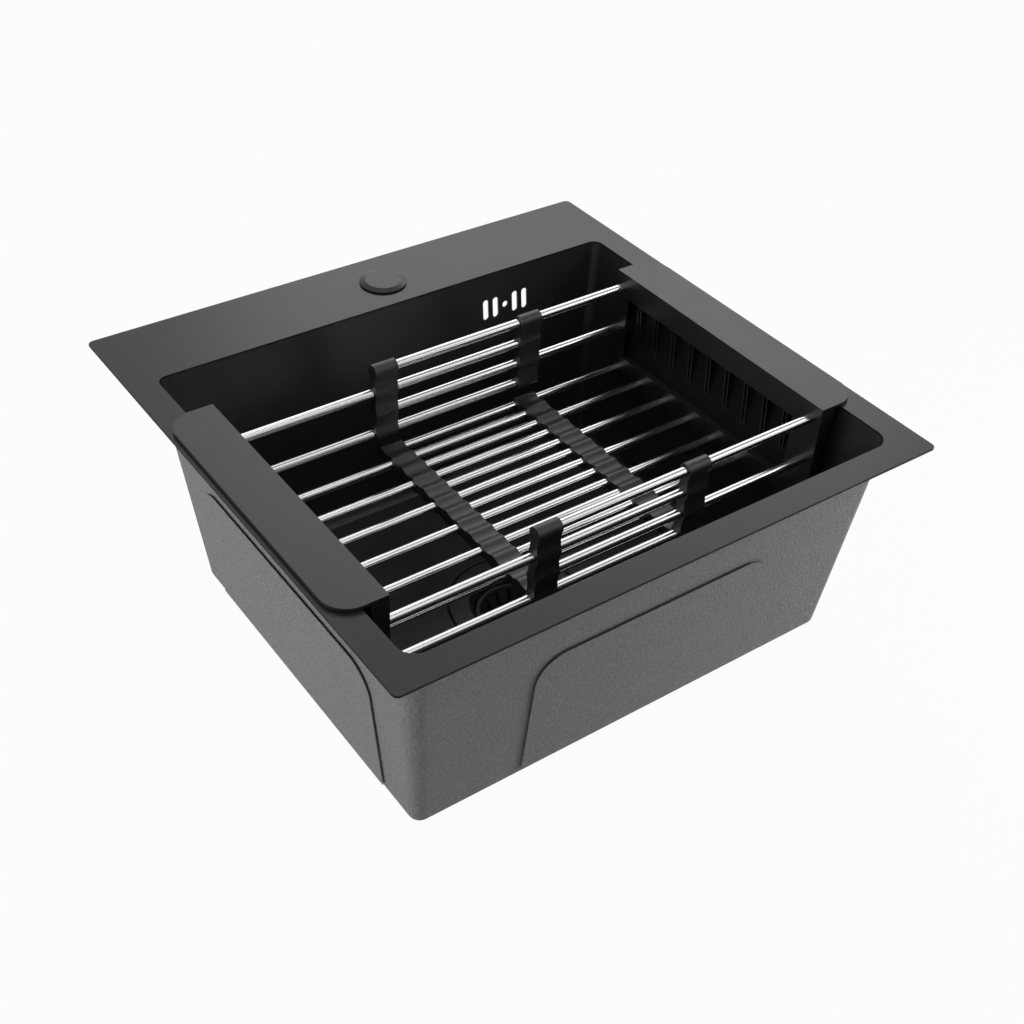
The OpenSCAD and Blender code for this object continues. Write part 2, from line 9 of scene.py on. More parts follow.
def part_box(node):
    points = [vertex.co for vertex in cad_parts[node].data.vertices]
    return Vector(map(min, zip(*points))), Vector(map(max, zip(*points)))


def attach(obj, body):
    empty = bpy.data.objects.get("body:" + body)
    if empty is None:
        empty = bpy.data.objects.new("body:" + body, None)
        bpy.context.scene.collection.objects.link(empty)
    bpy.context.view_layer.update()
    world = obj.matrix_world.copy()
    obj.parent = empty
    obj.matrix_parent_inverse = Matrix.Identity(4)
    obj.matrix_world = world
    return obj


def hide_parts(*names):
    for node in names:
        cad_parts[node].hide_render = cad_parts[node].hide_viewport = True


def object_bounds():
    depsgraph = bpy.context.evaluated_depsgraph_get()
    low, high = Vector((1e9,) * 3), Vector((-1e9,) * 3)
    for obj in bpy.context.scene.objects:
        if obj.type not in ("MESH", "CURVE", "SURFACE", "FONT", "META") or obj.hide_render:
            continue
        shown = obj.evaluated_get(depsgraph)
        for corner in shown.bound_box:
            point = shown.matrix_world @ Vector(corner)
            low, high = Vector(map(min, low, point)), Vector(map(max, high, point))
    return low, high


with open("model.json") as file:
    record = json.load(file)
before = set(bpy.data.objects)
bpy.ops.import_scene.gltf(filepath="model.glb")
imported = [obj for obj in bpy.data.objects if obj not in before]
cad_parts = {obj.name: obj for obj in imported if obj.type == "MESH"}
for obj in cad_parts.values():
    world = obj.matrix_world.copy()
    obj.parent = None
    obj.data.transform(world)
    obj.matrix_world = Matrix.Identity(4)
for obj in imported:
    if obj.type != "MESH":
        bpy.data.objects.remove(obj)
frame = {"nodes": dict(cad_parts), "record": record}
cadBox = [list(corner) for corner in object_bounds()]
scene = bpy.context.scene
mm = 0.001
pureWhite = (1, 1, 1, 1)

# Sizes that several pieces share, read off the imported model
plateLow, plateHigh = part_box("top_plate")
bowlLow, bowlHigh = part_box("bowl")
sheet = {"wall": 1.5 * mm, "plate": plateHigh.z - plateLow.z}
rimZ = plateLow.z  # the bowl is welded on under the plate
bowlHalfX = bowlHigh.x - sheet["wall"]  # half the opening's width
bowlFrontY = bowlLow.y + sheet["wall"]
bowlBackY = bowlHigh.y - sheet["wall"]


def addObject(name, data):
    thing = bpy.data.objects.new(name, data)
    scene.collection.objects.link(thing)
    return thing


def meshFrom(bm, name, *materials):
    mesh = bpy.data.meshes.new(name)
    bm.to_mesh(mesh)
    bm.free()
    for material in materials:
        mesh.materials.append(material)
    return mesh


cameraPlace = {
    "azimuth": -37.337,  # degrees, 0 looks along +Y
    "elevation": 38.903,
    "roll": 3.18,
    "distance": 1151.92 * mm,
    "target": Vector((-42.83, -80.18, -47.0)) * mm,
    "lens": 51.79,  # millimetres, as the sensor's width is
    "sensor": 36,
    "nearest": 0.05,  # metres, the range that the camera sees
    "farthest": 30,
}


def makeCamera(place):
    az = math.radians(place["azimuth"])
    el = math.radians(place["elevation"])
    roll = math.radians(place["roll"])
    back = Vector((math.sin(az) * math.cos(el), -math.cos(az) * math.cos(el), math.sin(el)))
    right = Vector((0, 0, 1)).cross(back).normalized()
    up = back.cross(right)
    tiltedRight = math.cos(roll) * right + math.sin(roll) * up
    tiltedUp = math.cos(roll) * up - math.sin(roll) * right
    turn = Matrix((tiltedRight, tiltedUp, back)).transposed().to_4x4()
    data = bpy.data.cameras.new("camera")
    data.lens = place["lens"]
    data.sensor_width = place["sensor"]
    data.clip_start = place["nearest"]
    data.clip_end = place["farthest"]
    camera = addObject("camera", data)
    camera.matrix_world = Matrix.Translation(place["target"] + back * place["distance"]) @ turn
    scene.camera = camera


makeCamera(cameraPlace)
print("camera placed")


def linear(hexColour):
    # an sRGB hex value as the linear colour that the shaders take
    values = [int(hexColour[i:i + 2], 16) / 255 for i in (1, 3, 5)]
    return [v / 12.92 if v <= 0.04045 else ((v + 0.055) / 1.055) ** 2.4 for v in values] + [1]


def addNode(tree, kind, settings=None, inputs=None, links=None):
    node = tree.nodes.new(kind)
    for key, value in (settings or {}).items():
        setattr(node, key, value)
    for key, value in (inputs or {}).items():
        node.inputs[key].default_value = value
    for key, source in (links or {}).items():
        tree.links.new(source, node.inputs[key])
    return node


def newMaterial(name, colour, roughness, metallic=0.0, gloss=0.5):
    material = bpy.data.materials.new(name)
    material.use_nodes = True
    tree = material.node_tree
    shader = tree.nodes["Principled BSDF"]
    shader.inputs["Base Color"].default_value = linear(colour)
    shader.inputs["Roughness"].default_value = roughness
    shader.inputs["Metallic"].default_value = metallic
    shader.inputs["Specular IOR Level"].default_value = gloss
    place = addNode(tree, "ShaderNodeTexCoord")
    return material, tree, shader, place.outputs["Object"]


def pattern(tree, place, size, stretch=(1, 1, 1), detail=2, rough=0.5):
    # a random pattern with grains of `size` metres, longer along an axis by its stretch
    grid = addNode(tree, "ShaderNodeMapping", links={"Vector": place},
                   inputs={"Scale": [1 / (size * s) for s in stretch]})
    grains = addNode(tree, "ShaderNodeTexNoise", links={"Vector": grid.outputs["Vector"]},
                     inputs={"Scale": 1.0, "Detail": detail, "Roughness": rough})
    return grains.outputs["Fac"]


patternRange = {"From Min": 0.3, "From Max": 0.7}  # where nearly all of a pattern's values lie


def applyPatterns(tree, shader, tone=None, colours=None, sheen=None, roughness=None,
                  relief=None, depth=0, strength=1):
    # tone runs between two colours, sheen between two roughnesses, and relief stands out by its depth
    if tone is not None:
        share = addNode(tree, "ShaderNodeMapRange", links={"Value": tone},
                        inputs={**patternRange, "To Min": 0, "To Max": 1})
        mix = addNode(tree, "ShaderNodeMix", {"data_type": "RGBA"}, links={"Factor": share.outputs["Result"]},
                      inputs={"A": linear(colours[0]), "B": linear(colours[1])})
        tree.links.new(mix.outputs["Result"], shader.inputs["Base Color"])
    if sheen is not None:
        dulled = addNode(tree, "ShaderNodeMapRange", links={"Value": sheen},
                         inputs={**patternRange, "To Min": roughness[0], "To Max": roughness[1]})
        tree.links.new(dulled.outputs["Result"], shader.inputs["Roughness"])
    if relief is not None:
        raised = addNode(tree, "ShaderNodeBump", links={"Height": relief},
                         inputs={"Strength": strength, "Distance": depth})
        tree.links.new(raised.outputs["Normal"], shader.inputs["Normal"])


steelLook = {
    "grain": 0.9 * mm,  # about 0.1 mm on such steel, by assumption, drawn wider so that it shows
    "grainLength": 60,  # times its width
    "grainDepth": 0.01 * mm,
    "cloud": 60 * mm,
}


def coatedSteel(name, dark, light, roughLow, roughHigh, along, gloss=0.3, grainBump=0.2):
    # Black nano coating over brushed 304 stainless: satin, with a faint grain along the brushing.
    material, tree, shader, place = newMaterial(name, dark, roughHigh, gloss=gloss)
    stretch = [steelLook["grainLength"] if axis == along else 1 for axis in "xyz"]
    grain = pattern(tree, place, steelLook["grain"], stretch, detail=3)
    cloud = pattern(tree, place, steelLook["cloud"])
    applyPatterns(tree, shader, cloud, (dark, light), grain, (roughLow, roughHigh),
                  grain, steelLook["grainDepth"], grainBump)
    return material


coatLook = {"pebble": 1.7 * mm, "pebbleDepth": 1.0 * mm, "pebbleRough": 0.6,
            "colours": ("#5f5f60", "#8b8b8c"), "roughness": (0.66, 0.85)}


def sprayCoat(look):
    # Grey rubbery undercoat sprayed on the bowl's outside: matt pebbles, painted darker in the hollows
    # between, as painted shade.
    material, tree, shader, place = newMaterial("sound_spray_coat", "#757576", 0.75)
    pebble = pattern(tree, place, look["pebble"], rough=look["pebbleRough"])
    # the pebble pattern sets both colour and relief, so the hollows are painted dark: painted shade
    applyPatterns(tree, shader, pebble, look["colours"], pebble, look["roughness"],
                  pebble, look["pebbleDepth"])
    return material


plasticLook = {"flow": 35 * mm, "textureDepth": 0.015 * mm, "textureBump": 0.4}


def mouldedPlastic(name, dark, light, roughLow, roughHigh, texture=0.35 * mm, gloss=0.5):
    # Injection moulded plastic with a spark-eroded texture, drawn coarse enough to show: satin, even colour.
    material, tree, shader, place = newMaterial(name, dark, roughHigh, gloss=gloss)
    skin = pattern(tree, place, texture)
    flow = pattern(tree, place, plasticLook["flow"])
    applyPatterns(tree, shader, flow, (dark, light), flow, (roughLow, roughHigh),
                  skin, plasticLook["textureDepth"], plasticLook["textureBump"])
    return material


rubberLook = {"streak": 0.8 * mm, "streakDepth": 0.04 * mm, "streakBump": 0.4,
              "streakStretch": (1, 9, 9),  # the strips run in the YZ plane
              "wave": 7 * mm, "colours": ("#262627", "#303031"), "roughness": (0.3, 0.46)}


def stripRubber(look):
    # Moulded thermoplastic rubber: dark, soft sheen, faint flow streaks along the strip.
    material, tree, shader, place = newMaterial("moulded_strip_rubber", "#2a2a2b", 0.4)
    streak = pattern(tree, place, look["streak"], look["streakStretch"])
    wave = pattern(tree, place, look["wave"])
    applyPatterns(tree, shader, wave, look["colours"], streak, look["roughness"],
                  streak, look["streakDepth"], look["streakBump"])
    return material


tubeLook = {
    "line": 0.3 * mm,  # about 0.05 mm on such tube, by assumption, drawn wider so that it shows
    "lineStretch": (900, 1, 1),  # the rods run along X
    "lineDepth": 0.01 * mm, "lineBump": 0.12, "roughness": (0.1, 0.18),
}


def polishedSteel(look):
    # Drawn and polished stainless tube: near mirror, with faint drawing lines along the tube.
    material, tree, shader, place = newMaterial("polished_steel_tube", "#dcdddf", 0.12, 1.0)
    line = pattern(tree, place, look["line"], look["lineStretch"])
    applyPatterns(tree, shader, sheen=line, roughness=look["roughness"],
                  relief=line, depth=look["lineDepth"], strength=look["lineBump"])
    return material


platedLook = {"cloud": 5 * mm, "colours": ("#9a9ca0", "#bcbec1"), "roughness": (0.25, 0.42)}


def platedSteel(look):
    # Zinc plated fasteners: bright grey, cloudy.
    material, tree, shader, place = newMaterial("zinc_plated_steel", "#aeb0b3", 0.32, 1.0)
    cloud = pattern(tree, place, look["cloud"], detail=3)
    applyPatterns(tree, shader, cloud, look["colours"], cloud, look["roughness"])
    return material


# steel: name, dark, light, least and most roughness, axis of the brushing, gloss, depth of the grain
# plastic: name, dark, light, least and most roughness, grain of the texture, gloss
looks = {
    "deck": coatedSteel("black_coated_deck", "#262627", "#292929", 0.29, 0.32, "x", 0.32),
    "cover": coatedSteel("black_coated_cover", "#242425", "#272727", 0.26, 0.29, "x", 0.28),
    "inside": coatedSteel("black_coated_bowl", "#2c2c2d", "#313132", 0.36, 0.38, "x", 0.5, 0.03),
    # near-black and dull: painted shade on the plate's outer edge; the black flags' cards use it too
    "edge": coatedSteel("painted_shade_edge_and_flag", "#0b0b0b", "#101010", 0.5, 0.55, "x", 0.1),
    "waste": coatedSteel("black_coated_waste", "#3a3a3b", "#414142", 0.34, 0.38, "y", 0.5, 0.05),
    "coat": sprayCoat(coatLook),
    "tray": mouldedPlastic("satin_black_abs", "#1e1e1f", "#222223", 0.36, 0.4),
    # a darker, duller copy of the tray's plastic for the pocket's back wall: painted shade in the recess
    "pocket": mouldedPlastic("satin_black_abs_painted_shade", "#0d0d0e", "#111112", 0.5, 0.55, gloss=0.2),
    "knob": mouldedPlastic("black_knob_plastic", "#1b1b1c", "#1f1f20", 0.3, 0.38),
    "fitting": mouldedPlastic("white_polypropylene", "#d6d6d0", "#dededa", 0.4, 0.5),
    "rubber": stripRubber(rubberLook),
    "seal": mouldedPlastic("seal_rubber", "#141414", "#1a1a1a", 0.55, 0.65, 0.8 * mm),
    "rod": polishedSteel(tubeLook),
    "plated": platedSteel(platedLook),
}
print("materials made")


meshClean = {
    "join": 0.004 * mm,
    "flatWithin": 0.8,  # degrees
    "largeFaces": 90,  # their pull on the shading, 1 to 100
}


def finishPiece(name, mesh, body, nodes):
    piece = addObject(name, mesh)
    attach(piece, body)
    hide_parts(*nodes)


def cleanCopy(node):
    # the node's mesh with its doubles merged and its flat faces made whole
    mesh = frame["nodes"][node].data.copy()
    bm = bmesh.new()
    bm.from_mesh(mesh)
    bmesh.ops.remove_doubles(bm, verts=bm.verts, dist=meshClean["join"])
    bmesh.ops.dissolve_limit(bm, angle_limit=math.radians(meshClean["flatWithin"]),
                             verts=bm.verts, edges=bm.edges)
    bm.to_mesh(mesh)
    bm.free()
    return mesh


def evaluated(obj):
    deps = bpy.context.evaluated_depsgraph_get()
    mesh = bpy.data.meshes.new_from_object(obj.evaluated_get(deps))
    bpy.data.objects.remove(obj)
    return mesh


def softened(mesh, width=0, segments=2, angle=32):
    # smooth shading, with sharp edges rounded as moulding or polishing leaves them; flat faces stay flat
    mesh.shade_smooth()
    mesh.set_sharp_from_angle(angle=math.radians(angle))
    work = addObject("work", mesh)
    if width:
        bevel = work.modifiers.new("bevel", "BEVEL")
        bevel.width = width
        bevel.segments = segments
        bevel.limit_method = "ANGLE"
        bevel.angle_limit = math.radians(angle)
        bevel.use_clamp_overlap = True
    weighted = work.modifiers.new("weighted", "WEIGHTED_NORMAL")
    weighted.weight = meshClean["largeFaces"]
    weighted.keep_sharp = not width
    return evaluated(work)


def bodyOf(node):
    bodies = frame["record"]["behaviour"]["bodies"]
    return next(body for body, nodes in bodies.items() if node in nodes)


def dressNode(node, material, width, segments=2):
    mesh = softened(cleanCopy(node), width, segments)
    mesh.materials.clear()
    mesh.materials.append(material)
    finishPiece(node + "_dressed", mesh, bodyOf(node), [node])


def middleOf(low, high):
    return ((low.x + high.x) / 2, (low.y + high.y) / 2)


def roundedLoop(halfX, halfY, frontR, centre=(0, 0), steps=12, backR=None, sideSteps=1):
    # counter-clockwise outline of a rounded rectangle, every corner and every side with the same steps
    corners = []
    for quarter, (sx, sy) in enumerate(((1, 1), (-1, 1), (-1, -1), (1, -1))):
        radius = backR if backR and sy > 0 else frontR
        midX = centre[0] + sx * (halfX - radius)
        midY = centre[1] + sy * (halfY - radius)
        turns = [math.radians(90 * quarter + 90 * step / steps) for step in range(steps + 1)]
        corners.append([Vector((midX + radius * math.cos(turn), midY + radius * math.sin(turn)))
                        for turn in turns])
    points = []
    for corner, following in zip(corners, corners[1:] + corners[:1]):
        points += corner
        points += [corner[-1].lerp(following[0], step / sideSteps) for step in range(1, sideSteps)]
    return [tuple(point) for point in points]


def circleLoop(radius, centre, count):
    return [(centre[0] + radius * math.cos(2 * math.pi * i / count),
             centre[1] + radius * math.sin(2 * math.pi * i / count)) for i in range(count)]


def extruded(bm, faces, move):
    # the faces' copy is moved, and the band between them is filled
    far = bmesh.ops.extrude_face_region(bm, geom=faces)
    bmesh.ops.translate(bm, vec=move, verts=[v for v in far["geom"] if isinstance(v, bmesh.types.BMVert)])


deckLook = {
    "cornerR": 5 * mm, "openingR": 15 * mm, "openingBackR": 9 * mm,
    "tapHoleR": 17.5 * mm, "tapHoleSteps": 64,
    "edge": 0.3 * mm, "edgeSegments": 3, "edgeAngle": 50,
    "flatWithin": 0.5,  # degrees, as the edge's angle is
}


def makeDeck(look):
    loops = [
        roundedLoop(plateHigh.x, plateHigh.y, look["cornerR"]),
        roundedLoop(bowlHalfX, (bowlBackY - bowlFrontY) / 2, look["openingR"],
                    (0, (bowlBackY + bowlFrontY) / 2), backR=look["openingBackR"]),
        circleLoop(look["tapHoleR"], middleOf(*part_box("tap_hole_cover")), look["tapHoleSteps"]),
    ]
    bm = bmesh.new()
    edges = []
    for loop in loops:
        verts = [bm.verts.new((x, y, plateHigh.z)) for x, y in loop]
        edges += [bm.edges.new((verts[i - 1], verts[i])) for i in range(len(verts))]
    bmesh.ops.triangle_fill(bm, edges=edges, use_beauty=True)
    bmesh.ops.recalc_face_normals(bm, faces=bm.faces)
    if bm.faces[:][0].normal.z < 0:
        bmesh.ops.reverse_faces(bm, faces=bm.faces)
    extruded(bm, bm.faces[:], (0, 0, -sheet["plate"]))
    bmesh.ops.recalc_face_normals(bm, faces=bm.faces)
    bmesh.ops.dissolve_limit(bm, angle_limit=math.radians(look["flatWithin"]), verts=bm.verts, edges=bm.edges)
    for face in bm.faces:
        # the plate's cut outer edge gets a near-black material, duller than its top: painted shade, for an
        # edge lying in shade
        centre = face.calc_center_median()
        outside = (abs(centre.x) > plateHigh.x - look["cornerR"]
                   or abs(centre.y) > plateHigh.y - look["cornerR"])
        upright = abs(face.normal.z) < 0.5
        face.material_index = 1 if outside and upright else 0
    mesh = meshFrom(bm, "deck", looks["deck"], looks["edge"])
    mesh = softened(mesh, look["edge"], look["edgeSegments"], look["edgeAngle"])
    finishPiece("rim_deck", mesh, "sink", ["top_plate"])


makeDeck(deckLook)
dressNode("rim_seal", looks["seal"], 0.3 * mm)
print("rim plate made")


bowlLook = {
    # upright corners at the rim, at its back and at the floor, and the round between wall and floor
    "topR": 15 * mm, "topBackR": 9 * mm, "lowR": 9 * mm, "floorR": 8 * mm, "leastR": 0.4 * mm,
    "sideSlope": 20 / 200, "frontSlope": 20 / 200, "backSlope": 22 / 200,  # lean over the bowl's depth
    "floorZ": -197 * mm,
    "cornerSteps": 12, "sideSteps": 24, "wallSteps": 6, "filletSteps": 8,
    "wellR": 61.5 * mm, "wellDepth": 3 * mm, "holeR": 45 * mm,
    "floorEnd": 3 * mm, "floorShares": (0.25, 0.5, 0.75),  # the floor's rings on the way to the well
    "wellLip": ((2 * mm, 0), (0.7 * mm, 0.25 * mm), (0, 1 * mm)),  # out from the well, and down
}
slotLook = {
    "x": 118.5 * mm, "z": -32.5 * mm, "pitch": 10.8 * mm, "width": 6.2 * mm, "height": 20 * mm,
    "eachSide": 2, "arcSteps": 16,
    "reachIn": 12 * mm, "reachOut": 4 * mm, "join": 0.001 * mm,  # the cutter's, across the back wall
}


def bowlRing(look, z, inset, radius, grow, backR=None):
    # outline of the bowl at height z, drawn in by the walls' lean and a further inset
    fall = rimZ - z
    left = -bowlHalfX + look["sideSlope"] * fall + inset - grow
    front = bowlFrontY + look["frontSlope"] * fall + inset - grow
    back = bowlBackY - look["backSlope"] * fall - inset + grow
    return roundedLoop(-left, (back - front) / 2, radius + grow, (0, (front + back) / 2),
                       look["cornerSteps"], backR + grow if backR else None, look["sideSteps"])


def bowlShell(look, grow):
    # rings of one side of the sheet from the rim down to the waste's hole
    rings = []
    ballZ = look["floorZ"] + look["floorR"]
    for step in range(look["wallSteps"] + 1):
        share = step / look["wallSteps"]
        z = rimZ + (ballZ - rimZ) * share
        radius = look["topR"] + (look["lowR"] - look["topR"]) * share
        backR = look["topBackR"] + (look["lowR"] - look["topBackR"]) * share
        rings.append([(x, y, z) for x, y in bowlRing(look, z, 0, radius, grow, backR)])
    reach = look["floorR"] + grow
    for step in range(1, look["filletSteps"] + 1):
        turn = math.radians(90 * step / look["filletSteps"])
        z = ballZ - reach * math.sin(turn)
        inset = reach * (1 - math.cos(turn))
        ring = bowlRing(look, ballZ, inset, max(look["lowR"] - inset, look["leastR"]), grow)
        rings.append([(x, y, z) for x, y in ring])
    centre = middleOf(*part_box("waste_body"))
    floorZ = look["floorZ"] - grow
    wellZ = floorZ - look["wellDepth"]
    wellR = look["wellR"] + grow
    last = rings[-1]
    angles = [math.atan2(y - centre[1], x - centre[0]) for x, y, _ in last]

    def circle(radius, z):
        return [(centre[0] + radius * math.cos(a), centre[1] + radius * math.sin(a), z) for a in angles]

    target = circle(wellR + look["floorEnd"], floorZ)
    for share in look["floorShares"]:
        rings.append([tuple(p + (q - p) * share for p, q in zip(a, b)) for a, b in zip(last, target)])
    rings += [circle(wellR + out, floorZ - down) for out, down in look["wellLip"]]
    rings += [circle(wellR, wellZ), circle(look["holeR"], wellZ)]
    return rings


def bridge(bm, rings, flip=False, material=0):
    for upper, lower in zip(rings, rings[1:]):
        for i in range(len(upper)):
            j = (i + 1) % len(upper)
            quad = (upper[i], upper[j], lower[j], lower[i])
            face = bm.faces.new(quad[::-1] if flip else quad)
            face.material_index = material


def makeSlotCutter(look):
    # four upright slots and the dot between them, as one cutter through the back wall
    bm = bmesh.new()
    y0, y1 = bowlBackY - look["reachIn"], bowlBackY + look["reachOut"]
    r = look["width"] / 2
    for i in range(-look["eachSide"], look["eachSide"] + 1):
        half = 0 if i == 0 else (look["height"] - look["width"]) / 2
        centreX = look["x"] + i * look["pitch"]
        outline = []
        for start, lift in ((0, half), (math.pi, -half)):
            for step in range(look["arcSteps"] + 1):
                turn = start + math.pi * step / look["arcSteps"]
                outline.append((centreX + r * math.cos(turn), look["z"] + lift + r * math.sin(turn)))
        near = bm.faces.new([bm.verts.new((x, y0, z)) for x, z in outline])
        extruded(bm, [near], (0, y1 - y0, 0))
    bmesh.ops.remove_doubles(bm, verts=bm.verts, dist=look["join"])
    bmesh.ops.recalc_face_normals(bm, faces=bm.faces)
    return addObject("slot_cutter", meshFrom(bm, "slot_cutter"))


def makeBowl(look):
    inner = bowlShell(look, 0)
    outer = bowlShell(look, sheet["wall"])
    bm = bmesh.new()
    innerVerts = [[bm.verts.new(p) for p in ring] for ring in inner]
    outerVerts = [[bm.verts.new(p) for p in ring] for ring in outer]
    bridge(bm, innerVerts)
    bridge(bm, outerVerts, flip=True, material=1)
    bridge(bm, [outerVerts[0], innerVerts[0]])
    bridge(bm, [innerVerts[-1], outerVerts[-1]])
    bmesh.ops.recalc_face_normals(bm, faces=bm.faces)
    work = addObject("bowl_work", meshFrom(bm, "bowl_sheet", looks["inside"], looks["coat"]))
    cutter = makeSlotCutter(slotLook)
    cut = work.modifiers.new("slots", "BOOLEAN")
    cut.operation = "DIFFERENCE"
    cut.solver = "EXACT"
    cut.object = cutter
    mesh = softened(evaluated(work), angle=35)
    bpy.data.objects.remove(cutter)
    finishPiece("bowl_shell", mesh, "sink", ["bowl"])


makeBowl(bowlLook)
print("bowl made")


padLook = {
    "round": 0.3 * mm, "roundMiddle": 0.3,  # its middle point lies this share of it in from both faces
    "creviceDepth": 2.2 * mm, "creviceShare": 0.75,  # of the pad's thickness
    "angle": 50, "floorEdge": 0.6 * mm,
}


def shrunk(points, inset):
    # a convex outline, each corner moved in by the inset, square to the line between its neighbours
    result = []
    for i, point in enumerate(points):
        before, after = points[i - 1], points[(i + 1) % len(points)]
        inward = Vector((before.y - after.y, after.x - before.x)).normalized()
        result.append(point + inward * inset)
    return result


def makeWallPad(node, look):
    # a pad on a leaning wall: rounded outer edge, and a dark crevice where its rim stands off the wall
    bm = bmesh.new()
    bm.from_mesh(cleanCopy(node))
    bowlMiddle = Vector((0, (bowlFrontY + bowlBackY) / 2, 0))
    flats = sorted(bm.faces, key=lambda f: -f.calc_area())[:2]
    outer = max(flats, key=lambda f: (f.calc_center_median() - bowlMiddle).to_2d().length)
    normal = outer.normal.copy()
    across = Vector((0, 0, 1)).cross(normal).normalized()
    up = normal.cross(across)
    depths = [v.co.dot(normal) for v in bm.verts]
    wallSide, outside = min(depths), max(depths)
    outline = [Vector((v.co.dot(across), v.co.dot(up))) for v in outer.verts]
    bm.free()
    crevice = wallSide + (outside - wallSide) * look["creviceShare"]
    r = look["round"]
    middle = look["roundMiddle"] * r
    layers = [(look["creviceDepth"], wallSide), (look["creviceDepth"], crevice), (0, crevice),
              (0, outside - r), (middle, outside - middle), (r, outside)]
    bm = bmesh.new()
    rings = [[bm.verts.new(across * q.x + up * q.y + normal * depth) for q in shrunk(outline, inset)]
             for inset, depth in layers]
    bridge(bm, rings)
    bm.faces.new(rings[0])
    bm.faces.new(rings[-1])
    bmesh.ops.recalc_face_normals(bm, faces=bm.faces)
    mesh = softened(meshFrom(bm, node, looks["coat"]), angle=look["angle"])
    finishPiece(node + "_dressed", mesh, bodyOf(node), [node])


for side in ("front", "back", "left", "right"):
    makeWallPad(side + "_pad", padLook)
dressNode("floor_pad", looks["coat"], padLook["floorEdge"], 3)
print("sound pads made")


def revolved(profile, centre, name, material, segments=96):
    # a closed solid from (radius, height) points listed from the bottom of the axis to its top
    bm = bmesh.new()
    rings = []
    for radius, z in profile:
        loop = circleLoop(radius, centre, segments) if radius else [centre]
        rings.append([bm.verts.new((x, y, z)) for x, y in loop])
    for lower, upper in zip(rings, rings[1:]):
        for i in range(segments):
            j = (i + 1) % segments
            quad = [lower[i % len(lower)], lower[j % len(lower)],
                    upper[j % len(upper)], upper[i % len(upper)]]
            bm.faces.new([v for n, v in enumerate(quad) if v not in quad[:n]])
    bmesh.ops.recalc_face_normals(bm, faces=bm.faces)
    return meshFrom(bm, name, material)


coverLook = {"edgeH": 0.8 * mm, "bevel": 5 * mm, "crisp": 0.12 * mm, "angle": 30}


def makeCover(look):
    low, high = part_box("tap_hole_cover")
    r = (high.x - low.x) / 2
    c = look["crisp"]
    edgeZ = low.z + look["edgeH"]
    flatR = r - look["bevel"]
    profile = [(0, low.z), (r - c, low.z), (r, low.z + c), (r, edgeZ - c), (r - c, edgeZ),
               (flatR + 2 * c, high.z - c / 2), (flatR - 2 * c, high.z), (0, high.z)]
    mesh = revolved(profile, middleOf(low, high), "revolved", looks["cover"])
    mesh = softened(mesh, angle=look["angle"])
    finishPiece("tap_hole_disc", mesh, "sink", ["tap_hole_cover"])


fittings = [
    # node, finish, radius of its edges, segments on each edge
    ("cover_gasket", "seal", 0.2 * mm, 2),
    ("cover_stud", "plated", 0.4 * mm, 2),
    ("cover_washer", "plated", 0.3 * mm, 2),
    ("cover_nut", "plated", 0.5 * mm, 2),
    ("waste_body", "waste", 0.5 * mm, 3),
    ("lip_seal", "seal", 0.2 * mm, 2),
    ("under_seal", "seal", 0.4 * mm, 2),
    ("friction_ring", "fitting", 0.2 * mm, 2),
    ("locknut", "fitting", 0.6 * mm, 2),
    ("tail_washer", "seal", 0.2 * mm, 2),
    ("tailpiece", "fitting", 0.4 * mm, 2),
    ("slip_nut", "fitting", 0.5 * mm, 2),
    ("strainer_basket", "waste", 0.2 * mm, 2),
    ("strainer_knob", "knob", 0.5 * mm, 3),
    ("strainer_seal", "seal", 0.4 * mm, 2),
]
makeCover(coverLook)
for node, finish, edge, segments in fittings:
    dressNode(node, looks[finish], edge, segments)
print("tap hole cover and waste made")


rackLook = {"rodR": 4 * mm, "rodSegments": 48, "rodAngle": 40, "stripEdge": 0.9 * mm, "stripSegments": 3}


def socket(tree, name, kind, value):
    item = tree.interface.new_socket(name=name, in_out="INPUT", socket_type=kind)
    item.default_value = value
    return item.identifier


def rodTree(look, material):
    # a tube along X on each point, as long as the point's rodLength
    tree = bpy.data.node_groups.new("rods_on_points", "GeometryNodeTree")
    tree.interface.new_socket(name="Geometry", in_out="INPUT", socket_type="NodeSocketGeometry")
    names = {
        "Radius": socket(tree, "Radius", "NodeSocketFloat", look["rodR"]),
        "Segments": socket(tree, "Segments", "NodeSocketInt", look["rodSegments"]),
    }
    tree.interface.new_socket(name="Geometry", in_out="OUTPUT", socket_type="NodeSocketGeometry")
    given = tree.nodes.new("NodeGroupInput").outputs
    tube = addNode(tree, "GeometryNodeMeshCylinder", inputs={"Depth": 1.0}, links={
        "Vertices": given["Segments"], "Radius": given["Radius"]})
    length = addNode(tree, "GeometryNodeInputNamedAttribute", {"data_type": "FLOAT"}, {"Name": "rodLength"})
    size = addNode(tree, "ShaderNodeCombineXYZ", inputs={"X": 1.0, "Y": 1.0},
                   links={"Z": length.outputs["Attribute"]})
    placed = addNode(tree, "GeometryNodeInstanceOnPoints", inputs={"Rotation": (0, math.pi / 2, 0)}, links={
        "Points": given["Geometry"], "Instance": tube.outputs["Mesh"], "Scale": size.outputs["Vector"]})
    real = addNode(tree, "GeometryNodeRealizeInstances", links={"Geometry": placed.outputs["Instances"]})
    painted = addNode(tree, "GeometryNodeSetMaterial", links={"Geometry": real.outputs["Geometry"]},
                      inputs={"Material": material})
    result = tree.nodes.new("NodeGroupOutput")
    tree.links.new(painted.outputs["Geometry"], result.inputs["Geometry"])
    return tree, names


